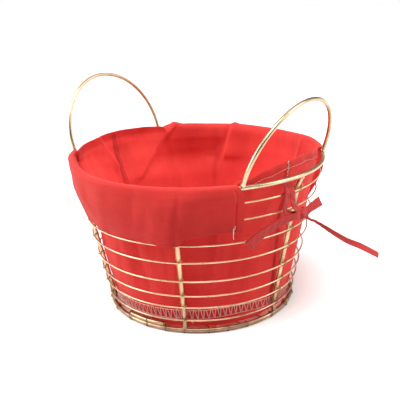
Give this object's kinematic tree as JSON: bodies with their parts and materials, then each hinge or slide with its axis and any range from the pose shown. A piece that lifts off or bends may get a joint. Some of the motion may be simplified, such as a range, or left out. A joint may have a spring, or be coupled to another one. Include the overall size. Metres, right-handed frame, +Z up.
{
  "type": "egg collection basket",
  "caption": "Round tapered wire basket with a fold-over cotton liner tied at the sides and an arched handle on each side, for collecting eggs.",
  "frame": {"origin": "centre of the basket on the surface that it stands on", "axes": "+Z up, the handles stand on the +X and -X sides"},
  "size_m": [0.3001, 0.2584, 0.2255],
  "materials": {
    "frame_rod": "polished gold-coloured metal with a warm lacquer",
    "frame_wire": "polished gold-coloured wire",
    "lashing_wire": "thin darker binding wire",
    "liner_cotton": "plain-weave red cotton",
    "seam_thread": "light pink overlock thread",
    "tie_cotton": "folded and stitched red cotton strip"
  },
  "bodies": {
    "root": {"rim_ring": "frame_rod", "base_ring": "frame_rod", "hoop_1": "frame_wire", "hoop_2": "frame_wire", "hoop_3": "frame_wire", "hoop_4": "frame_wire", "hoop_5": "frame_wire", "hoop_6": "frame_wire", "hoop_7": "frame_wire", "hoop_8": "frame_wire", "rib_1": "frame_rod", "rib_2": "frame_rod", "rib_3": "frame_rod", "rib_4": "frame_rod", "rib_5": "frame_rod", "rib_6": "frame_rod", "rib_lashing_1": "lashing_wire", "rib_lashing_2": "lashing_wire", "rib_lashing_3": "lashing_wire", "rib_lashing_4": "lashing_wire", "rib_lashing_5": "lashing_wire", "rib_lashing_6": "lashing_wire", "base_lashing": "lashing_wire", "base_wires_lower": "frame_wire", "base_wires_upper": "frame_wire", "handle_right": "frame_rod", "handle_left": "frame_rod", "liner_front_panel": "liner_cotton", "liner_back_panel": "liner_cotton", "liner_bottom_panel": "liner_cotton", "bottom_seam_thread": "seam_thread", "side_seam_thread_right": "seam_thread", "side_seam_thread_left": "seam_thread", "tie_right_strap": "tie_cotton", "tie_right_knot": "tie_cotton", "tie_right_bow": "tie_cotton", "tie_right_short_end": "tie_cotton", "tie_right_long_tail": "tie_cotton", "tie_left_strap": "tie_cotton", "tie_left_knot": "tie_cotton", "tie_left_bow": "tie_cotton", "tie_left_short_end": "tie_cotton", "tie_left_long_tail": "tie_cotton"}
  },
  "joints": []
}
